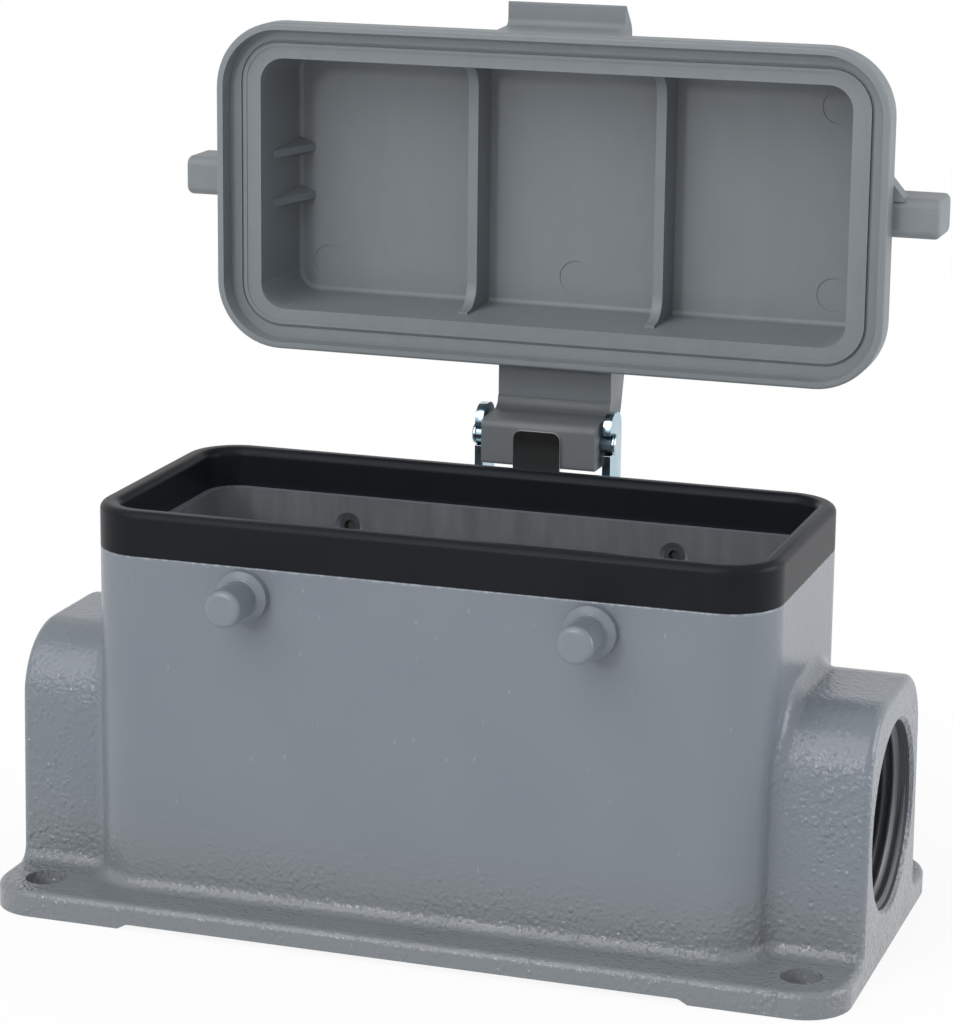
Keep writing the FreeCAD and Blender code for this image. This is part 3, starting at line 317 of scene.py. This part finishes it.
under_top = add_node(
    tree,
    "ShaderNodeMapRange",
    {"From Min": boss_top_calm, "From Max": boss_top_rough, "To Min": boss_calm_share, "To Max": 1.0},
    {"Value": axes.outputs["Z"]},
)
above_root = add_node(
    tree,
    "ShaderNodeMapRange",
    {"From Min": boss_low_calm, "From Max": boss_low_rough, "To Min": boss_calm_share, "To Max": 1.0},
    {"Value": axes.outputs["Z"]},
)
boss_share = add_node(
    tree,
    "ShaderNodeMath",
    {"operation": "MINIMUM"},
    {0: under_top.outputs[0], 1: above_root.outputs[0]},
)
on_boss = add_node(
    tree,
    "ShaderNodeMapRange",
    {
        "interpolation_type": "SMOOTHSTEP",
        "From Min": boss_start,
        "From Max": boss_rough,
        "To Min": smooth_share,
    },
    {"Value": along.outputs[0], "To Max": boss_share.outputs[0]},
)
near_foot = add_node(
    tree,
    "ShaderNodeMapRange",
    {
        "interpolation_type": "SMOOTHSTEP",
        "From Min": wall_smooth,
        "From Max": foot_rough,
        "To Min": 0.0,
        "To Max": root_share,
    },
    {"Value": axes.outputs["Z"]},
)
zone = add_node(
    tree, "ShaderNodeMath", {"operation": "ADD"}, {0: on_boss.outputs[0], 1: near_foot.outputs[0]}
)
patch_share = add_node(
    tree,
    "ShaderNodeMapRange",
    {"From Min": patch_low, "From Max": patch_high, "To Min": patch_least, "To Max": 1.0},
    {"Value": patches.outputs[0]},
)
lump_share = add_node(
    tree,
    "ShaderNodeMath",
    {"operation": "MULTIPLY"},
    {0: zone.outputs[0], 1: patch_share.outputs[0]},
)
lump_height = add_node(
    tree,
    "ShaderNodeMath",
    {"operation": "MULTIPLY"},
    {0: beaded.outputs[0], 1: lump_share.outputs[0]},
)
coat_bump = add_node(
    tree,
    "ShaderNodeBump",
    {"Distance": coat_height, "Strength": 1.0},
    {"Height": lump_height.outputs[0]},
)
tree.links.new(coat_bump.outputs[0], shader.inputs["Normal"])
coat_gloss = add_node(
    tree,
    "ShaderNodeMapRange",
    {"To Min": smooth_coat_roughness, "To Max": lumpy_coat_roughness},
    {"Value": zone.outputs[0]},
)
tree.links.new(coat_gloss.outputs[0], shader.inputs["Roughness"])
shade = add_node(
    tree,
    "ShaderNodeMixRGB",
    {"Color1": linear(coat_colour), "Color2": linear(coat_shade_colour)},
    {"Fac": patches.outputs[0]},
)
foot_tint = add_node(
    tree,
    "ShaderNodeMapRange",
    {
        "interpolation_type": "SMOOTHSTEP",
        "From Min": tint_start,
        "From Max": foot_rough,
        "To Min": 0.0,
        "To Max": 1.0,
    },
    {"Value": axes.outputs["Z"]},
)
tinted = add_node(
    tree,
    "ShaderNodeMixRGB",
    {"Color2": linear(coat_foot_colour)},
    {"Fac": foot_tint.outputs[0], "Color1": shade.outputs[0]},
)
# Painted glints: small pale dots, stretched upright, that stand in for the sparkle of the coat.
glint_place = add_node(
    tree, "ShaderNodeVectorMath", {"operation": "MULTIPLY", 1: (1.0, 1.0, glint_stretch)}, {0: place}
)
glint_cells = add_node(
    tree,
    "ShaderNodeTexVoronoi",
    {"Scale": 1 / glint_cell, "Randomness": 1.0},
    {"Vector": glint_place.outputs[0]},
)
painted_glints = add_node(
    tree,
    "ShaderNodeMapRange",
    {"From Min": glint_rim, "From Max": glint_core, "To Min": 0.0, "To Max": glint_strength},
    {"Value": glint_cells.outputs["Distance"]},
)
# Painted highlight: a pale broken line along the rounded edge just under the seal.
seal_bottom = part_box("housing_seal")[0].z
below_seal = add_node(
    tree, "ShaderNodeMath", {"operation": "SUBTRACT", 1: seal_bottom}, {0: axes.outputs["Z"]}
)
from_seal = add_node(tree, "ShaderNodeMath", {"operation": "ABSOLUTE"}, {0: below_seal.outputs[0]})
edge_highlight_line = add_node(
    tree,
    "ShaderNodeMapRange",
    {"From Min": edge_highlight_width, "From Max": 0.0, "To Min": 0.0, "To Max": 1.0},
    {"Value": from_seal.outputs[0]},
)
edge_highlight_noise = add_node(
    tree, "ShaderNodeTexNoise", {"Scale": 1 / edge_highlight_break, "Detail": 2.0}, {"Vector": place}
)
edge_highlight_gaps = add_node(
    tree,
    "ShaderNodeMapRange",
    {"From Min": edge_highlight_gap_low, "From Max": edge_highlight_gap_high, "To Min": 0.0, "To Max": edge_highlight_strength},
    {"Value": edge_highlight_noise.outputs[0]},
)
edge_highlight_share = add_node(
    tree,
    "ShaderNodeMath",
    {"operation": "MULTIPLY"},
    {0: edge_highlight_line.outputs[0], 1: edge_highlight_gaps.outputs[0]},
)
painted_highlight_share = add_node(
    tree,
    "ShaderNodeMath",
    {"operation": "MAXIMUM"},
    {0: edge_highlight_share.outputs[0], 1: painted_glints.outputs[0]},
)
highlighted_coat = add_node(
    tree,
    "ShaderNodeMixRGB",
    {"Color2": linear(painted_glint_colour)},
    {"Fac": painted_highlight_share.outputs[0], "Color1": tinted.outputs[0]},
)
tree.links.new(highlighted_coat.outputs[0], shader.inputs["Base Color"])
housing = dress("housing", powder_coat)


# Cable entries: the M25 gland threads are cut into the bare casting after painting, so they are bare
# metal; their dark grey is partly painted shade inside the bore. The marks of the turning tool are drawn
# coarser than real, so that they show.
thread_radius = 0.0125
thread_pitch = 0.0015
thread_depth = 0.00085
thread_length = 0.0125
thread_segments = 72
# Half the width of the ridge at its foot and at its crest, as shares of the pitch.
ridge_foot_share = 0.44
ridge_crest_share = 0.07
# The ridge's foot goes this far into the wall of the bore, and its ends taper off over half a turn.
ridge_sink = 0.00005
ridge_least_height = 0.00001
run_out_turns = 0.5
entry_height = 0.0185
entry_chamfer = 0.0005
bore_depth = 0.016
face_room = 0.00005
# Darker than bare cut metal: partly painted shade inside the bore.
shaded_cut_metal_colour = "#6c6e72"
turning_mark = 0.0011
turning_depth = 0.00002

cut_metal, tree, shader, place = start_material(
    "machined die casting", Metallic=0.6, Roughness=0.5, **{"Base Color": linear(shaded_cut_metal_colour)}
)
turning = add_node(
    tree,
    "ShaderNodeTexWave",
    {"Scale": 1 / turning_mark, "bands_direction": "X", "Distortion": 1.5},
    {"Vector": place},
)
turning_bump = add_node(
    tree, "ShaderNodeBump", {"Distance": turning_depth, "Strength": 0.6}, {"Height": turning.outputs[1]}
)
tree.links.new(turning_bump.outputs[0], shader.inputs["Normal"])

housing.data.materials.append(cut_metal)
end_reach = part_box("housing")[1].x
for face in housing.data.polygons:
    centre = face.center
    from_axis = math.hypot(centre.y, centre.z - entry_height)
    if abs(centre.x) > end_reach - bore_depth and from_axis < thread_radius + face_room:
        face.material_index = 1


def thread_ridge(name, direction):
    """A right hand thread ridge winding into the mouth that faces along direction times X."""
    mesh = bmesh.new()
    turns = thread_length / thread_pitch
    steps = int(turns * thread_segments)
    first_turn = end_reach - entry_chamfer - thread_pitch / 2
    foot_radius = thread_radius + ridge_sink
    rings = []
    for step in range(steps + 1):
        share = step / steps
        angle = direction * -2 * math.pi * turns * share
        run_in = share * turns / run_out_turns
        run_out = (1 - share) * turns / run_out_turns
        crest_radius = thread_radius - (thread_depth * min(1.0, run_in, run_out) + ridge_least_height)
        along = first_turn - (thread_length - thread_pitch) * share
        ring = []
        for offset, radius in (
            (ridge_foot_share, foot_radius),
            (ridge_crest_share, crest_radius),
            (-ridge_crest_share, crest_radius),
            (-ridge_foot_share, foot_radius),
        ):
            ring.append(
                mesh.verts.new(
                    (
                        direction * (along + offset * thread_pitch),
                        radius * math.cos(angle),
                        entry_height + radius * math.sin(angle),
                    )
                )
            )
        rings.append(ring)
    for before, after in zip(rings, rings[1:]):
        for here in range(len(before)):
            beside = (here + 1) % len(before)
            mesh.faces.new((before[here], before[beside], after[beside], after[here]))
    mesh.faces.new(rings[0])
    mesh.faces.new(list(reversed(rings[-1])))
    bmesh.ops.recalc_face_normals(mesh, faces=mesh.faces)
    data = bpy.data.meshes.new(name)
    mesh.to_mesh(data)
    mesh.free()
    data.materials.append(cut_metal)
    ridge = bpy.data.objects.new(name, data)
    bpy.context.scene.collection.objects.link(ridge)
    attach(ridge, "base")
    return ridge


thread_ridge("gland_thread_right", 1)
thread_ridge("gland_thread_left", -1)


# Inside of the housing: the same coat, but only a thin dull mist of it reaches the walls of the cavity;
# its darker, more neutral grey is partly painted shade of the deep cavity.
# The draw marks of the core show through it as upright streaks. Its grit is drawn coarser than real.
cavity_half_length = 0.04285
cavity_half_width = 0.0176
cavity_bottom = 0.004
# Both greys of the inside are darkened as painted shade of the cavity.
shaded_mist_dark = "#5a5d60"
shaded_mist_pale = "#696b6f"
mist_streak = 0.0022
mist_stretch = 0.2
mist_low = 0.3
mist_high = 0.7
mist_grit = 0.0008
mist_depth = 0.00003

thin_coat_in_shade, tree, shader, place = start_material(
    "thin dull powder coat with painted shade", Roughness=0.5, **{"Specular IOR Level": 0.3}
)
mist_place = add_node(
    tree, "ShaderNodeVectorMath", {"operation": "MULTIPLY", 1: (1.0, 1.0, mist_stretch)}, {0: place}
)
mist = add_node(
    tree,
    "ShaderNodeTexNoise",
    {"Scale": 1 / mist_streak, "Detail": 4.0},
    {"Vector": mist_place.outputs[0]},
)
mist_spread = add_node(
    tree, "ShaderNodeMapRange", {"From Min": mist_low, "From Max": mist_high}, {"Value": mist.outputs[0]}
)
mist_shade = add_node(
    tree,
    "ShaderNodeMixRGB",
    {"Color1": linear(shaded_mist_dark), "Color2": linear(shaded_mist_pale)},
    {"Fac": mist_spread.outputs[0]},
)
tree.links.new(mist_shade.outputs[0], shader.inputs["Base Color"])
mist_grain = add_node(
    tree, "ShaderNodeTexNoise", {"Scale": 1 / mist_grit, "Detail": 2.0}, {"Vector": place}
)
mist_bump = add_node(
    tree, "ShaderNodeBump", {"Distance": mist_depth, "Strength": 0.8}, {"Height": mist_grain.outputs[0]}
)
tree.links.new(mist_bump.outputs[0], shader.inputs["Normal"])
housing.data.materials.append(thin_coat_in_shade)
for face in housing.data.polygons:
    centre = face.center
    in_length = abs(centre.x) < cavity_half_length + face_room
    in_width = abs(centre.y) < cavity_half_width + face_room
    if in_length and in_width and centre.z > cavity_bottom - face_room:
        face.material_index = 2


# Locking pegs: turned steel studs, pushed through the tower wall before painting and spread there into a
# cone. Outside they carry the housing's coat, and inside their ends are bare steel, dull and drawn nearly
# black as painted shade in the cavity's countersinks.
wall_outside = 0.0215
peg_colour = "#757d85"
peg_grit = 0.0011
peg_grit_height = 0.00002
# Dark greys of the peg ends inside: partly painted shade in the countersinks.
punch_shaded_dark = "#2c2d2f"
punch_shaded_pale = "#6b6d70"
punch_mark = 0.0007
peg_names = [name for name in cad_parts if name.startswith("locking_peg")]
peg_paint, tree, shader, place = start_material(
    "powder coated steel",
    Roughness=0.3,
    **{"Base Color": linear(peg_colour), "Specular IOR Level": 0.5},
)
peg_skin = add_node(
    tree, "ShaderNodeTexNoise", {"Scale": 1 / peg_grit, "Detail": 2.0}, {"Vector": place}
)
peg_bump = add_node(
    tree,
    "ShaderNodeBump",
    {"Distance": peg_grit_height, "Strength": 1.0},
    {"Height": peg_skin.outputs[0]},
)
tree.links.new(peg_bump.outputs[0], shader.inputs["Normal"])

bare_steel_in_shade, tree, shader, place = start_material("dull bare steel", Metallic=0.7, Roughness=0.45)
punch_marks = add_node(
    tree, "ShaderNodeTexNoise", {"Scale": 1 / punch_mark, "Detail": 2.0}, {"Vector": place}
)
punch_shade = add_node(
    tree,
    "ShaderNodeMixRGB",
    {"Color1": linear(punch_shaded_dark), "Color2": linear(punch_shaded_pale)},
    {"Fac": punch_marks.outputs[0]},
)
tree.links.new(punch_shade.outputs[0], shader.inputs["Base Color"])
for name in peg_names:
    peg = dress(name, peg_paint)
    peg.data.materials.append(bare_steel_in_shade)
    for face in peg.data.polygons:
        if abs(face.center.y) < wall_outside - face_room:
            face.material_index = 1


# Housing seal: a moulded ring of black nitrile rubber, pushed over the tongue on the tower's rim.
# Its skin is satin, nearly black from the front and paler where it is seen along the surface. The grit of
# the skin is drawn coarser than real, so that it shows.
rubber_black = "#16181c"
rubber_grey = "#1a1d22"
rubber_grit = 0.0006
rubber_grit_height = 0.00001
bloom_patch = 0.008
nitrile, tree, shader, place = start_material(
    "moulded nitrile rubber", Roughness=0.36, **{"Specular IOR Level": 0.1}
)
rubber_skin = add_node(
    tree, "ShaderNodeTexNoise", {"Scale": 1 / rubber_grit, "Detail": 3.0}, {"Vector": place}
)
rubber_bump = add_node(
    tree,
    "ShaderNodeBump",
    {"Distance": rubber_grit_height, "Strength": 0.6},
    {"Height": rubber_skin.outputs[0]},
)
tree.links.new(rubber_bump.outputs[0], shader.inputs["Normal"])
rubber_bloom = add_node(
    tree, "ShaderNodeTexNoise", {"Scale": 1 / bloom_patch, "Detail": 2.0}, {"Vector": place}
)
rubber_shade = add_node(
    tree,
    "ShaderNodeMixRGB",
    {"Color1": linear(rubber_black), "Color2": linear(rubber_grey)},
    {"Fac": rubber_bloom.outputs[0]},
)
tree.links.new(rubber_shade.outputs[0], shader.inputs["Base Color"])
dress("housing_seal", nitrile)


# Hinge: a bracket folded from sheet steel, its pin and two rivets, all zinc plated after forming. The
# plate is a pale blue metal with soft reflections, bright along its edges, and its blue comes and goes in
# soft clouds. Its grain is drawn coarser than real, so that it shows.
zinc_blue = "#94b6ca"
zinc_grey = "#b6c4ca"
zinc_cloud = 0.0045
zinc_cloud_low = 0.35
zinc_cloud_high = 0.65
zinc_crystal = 0.0014
zinc_least_roughness = 0.12
zinc_most_roughness = 0.28
zinc_edge = 0.00012
weld_reach = 0.000001
sharp_angle = math.radians(40)
zinc, tree, shader, place = start_material("blue passivated zinc plate", Metallic=1.0)
zinc_clouds = add_node(
    tree, "ShaderNodeTexNoise", {"Scale": 1 / zinc_cloud, "Detail": 3.0}, {"Vector": place}
)
zinc_spread = add_node(
    tree,
    "ShaderNodeMapRange",
    {"From Min": zinc_cloud_low, "From Max": zinc_cloud_high},
    {"Value": zinc_clouds.outputs[0]},
)
zinc_shade = add_node(
    tree,
    "ShaderNodeMixRGB",
    {"Color1": linear(zinc_blue), "Color2": linear(zinc_grey)},
    {"Fac": zinc_spread.outputs[0]},
)
tree.links.new(zinc_shade.outputs[0], shader.inputs["Base Color"])
zinc_grain = add_node(
    tree, "ShaderNodeTexNoise", {"Scale": 1 / zinc_crystal, "Detail": 3.0}, {"Vector": place}
)
zinc_rough = add_node(
    tree,
    "ShaderNodeMapRange",
    {"To Min": zinc_least_roughness, "To Max": zinc_most_roughness},
    {"Value": zinc_grain.outputs[0]},
)
tree.links.new(zinc_rough.outputs[0], shader.inputs["Roughness"])


def soften_edges(piece, width):
    """Rounds the sharp edges of a piece by a small width, on the stored mesh's own outline."""
    weld = piece.modifiers.new("joined corners", "WELD")
    weld.merge_threshold = weld_reach
    bevel = piece.modifiers.new("worn edges", "BEVEL")
    bevel.width = width
    bevel.segments = 2
    bevel.limit_method = "ANGLE"
    bevel.angle_limit = sharp_angle


for name in ("hinge_bracket", "hinge_pin", "bracket_rivet_left", "bracket_rivet_right"):
    plated = dress(name, zinc)
    soften_edges(plated, zinc_edge)


# Detent leaf: a strip of hardened spring steel, blackened and oiled, nearly black, with sheared edges of
# bare steel that are drawn bright as a painted highlight. The black is paler lower down. The shear marks
# are drawn coarser than real.
oil_black = "#363636"
oil_grey = "#464646"
leaf_low_colour = "#7e8283"
oil_patch = 0.0033
leaf_pale_low = 0.0525
leaf_black = 0.0575
leaf_tip = 0.055
leaf_edge = 0.00018
facing_sideways = 0.5
facing_up = 0.6
shear_highlight_grey = "#a3a29e"
shear_highlight_bright = "#dcdad6"
shear_mark = 0.0007

spring_steel, tree, shader, place = start_material(
    "blackened spring steel", Metallic=1.0, Roughness=0.3
)
oil = add_node(tree, "ShaderNodeTexNoise", {"Scale": 1 / oil_patch, "Detail": 2.0}, {"Vector": place})
oil_shade = add_node(
    tree,
    "ShaderNodeMixRGB",
    {"Color1": linear(oil_black), "Color2": linear(oil_grey)},
    {"Fac": oil.outputs[0]},
)
leaf_axes = add_node(tree, "ShaderNodeSeparateXYZ", {}, {"Vector": place})
# The black turns paler towards the bottom of the leaf.
paler_low = add_node(
    tree,
    "ShaderNodeMapRange",
    {"From Min": leaf_black, "From Max": leaf_pale_low, "To Min": 0.0, "To Max": 1.0},
    {"Value": leaf_axes.outputs["Z"]},
)
leaf_shade = add_node(
    tree,
    "ShaderNodeMixRGB",
    {"Color2": linear(leaf_low_colour)},
    {"Fac": paler_low.outputs[0], "Color1": oil_shade.outputs[0]},
)
tree.links.new(leaf_shade.outputs[0], shader.inputs["Base Color"])
leaf = dress("detent_leaf", spring_steel)

# The sheared sides, tip and rounded edges of the leaf carry a painted highlight.
sheared_edge_highlight, tree, shader, place = start_material(
    "sheared steel edge with painted highlight", Metallic=0.4, Roughness=0.32
)
shear_marks = add_node(
    tree, "ShaderNodeTexNoise", {"Scale": 1 / shear_mark, "Detail": 2.0}, {"Vector": place}
)
shear_shade = add_node(
    tree,
    "ShaderNodeMixRGB",
    {"Color1": linear(shear_highlight_grey), "Color2": linear(shear_highlight_bright)},
    {"Fac": shear_marks.outputs[0]},
)
tree.links.new(shear_shade.outputs[0], shader.inputs["Base Color"])
leaf.data.materials.append(sheared_edge_highlight)
soften_edges(leaf, leaf_edge)
# The rounded edges take the painted highlight too.
leaf.modifiers["worn edges"].material = 1
for face in leaf.data.polygons:
    on_side = abs(face.normal.x) > facing_sideways
    on_tip = face.normal.z > facing_up and face.center.z > leaf_tip
    if on_side or on_tip:
        face.material_index = 1


# Cover: one moulding in grey glass filled polyamide, matt, with faint clouds and flow streaks in its skin.
# The cam is darker: painted shade, where the cover's rim shades it from above. The grit of the mould is
# drawn coarser than real, so that it shows.
flow_dark = "#757b80"
flow_pale = "#81878b"
flow_width = 0.0042
flow_length = 0.011
cam_shade_colour = "#63676a"
cam_shade_full = 0.0605
cam_shade_start = 0.0625
cam_shade_strength = 0.85
mould_grit = 0.00055
mould_grit_height = 0.00001
moulded_edge = 0.0001
polyamide, tree, shader, place = start_material(
    "moulded grey polyamide", Roughness=0.5, **{"Specular IOR Level": 0.4}
)
streak_place = add_node(
    tree,
    "ShaderNodeMapping",
    {"Scale": (1 / flow_width, 1 / flow_width, 1 / flow_length)},
    {"Vector": place},
)
streaks = add_node(
    tree,
    "ShaderNodeTexNoise",
    {"Scale": 1.0, "Detail": 8.0, "Roughness": 0.72},
    {"Vector": streak_place.outputs[0]},
)
flow_shade = add_node(
    tree,
    "ShaderNodeMixRGB",
    {"Color1": linear(flow_dark), "Color2": linear(flow_pale)},
    {"Fac": streaks.outputs[0]},
)
cover_axes = add_node(tree, "ShaderNodeSeparateXYZ", {}, {"Vector": place})
# Painted shade on the cam, under the cover's rim.
painted_cam_shade = add_node(
    tree,
    "ShaderNodeMapRange",
    {"From Min": cam_shade_start, "From Max": cam_shade_full, "To Min": 0.0, "To Max": cam_shade_strength},
    {"Value": cover_axes.outputs["Z"]},
)
cover_shade = add_node(
    tree,
    "ShaderNodeMixRGB",
    {"Color2": linear(cam_shade_colour)},
    {"Fac": painted_cam_shade.outputs[0], "Color1": flow_shade.outputs[0]},
)
tree.links.new(cover_shade.outputs[0], shader.inputs["Base Color"])
moulded_skin = add_node(
    tree, "ShaderNodeTexNoise", {"Scale": 1 / mould_grit, "Detail": 2.0}, {"Vector": place}
)
moulded_bump = add_node(
    tree,
    "ShaderNodeBump",
    {"Distance": mould_grit_height, "Strength": 0.8},
    {"Height": moulded_skin.outputs[0]},
)
tree.links.new(moulded_bump.outputs[0], shader.inputs["Normal"])
cover = dress("cover", polyamide)
soften_edges(cover, moulded_edge)
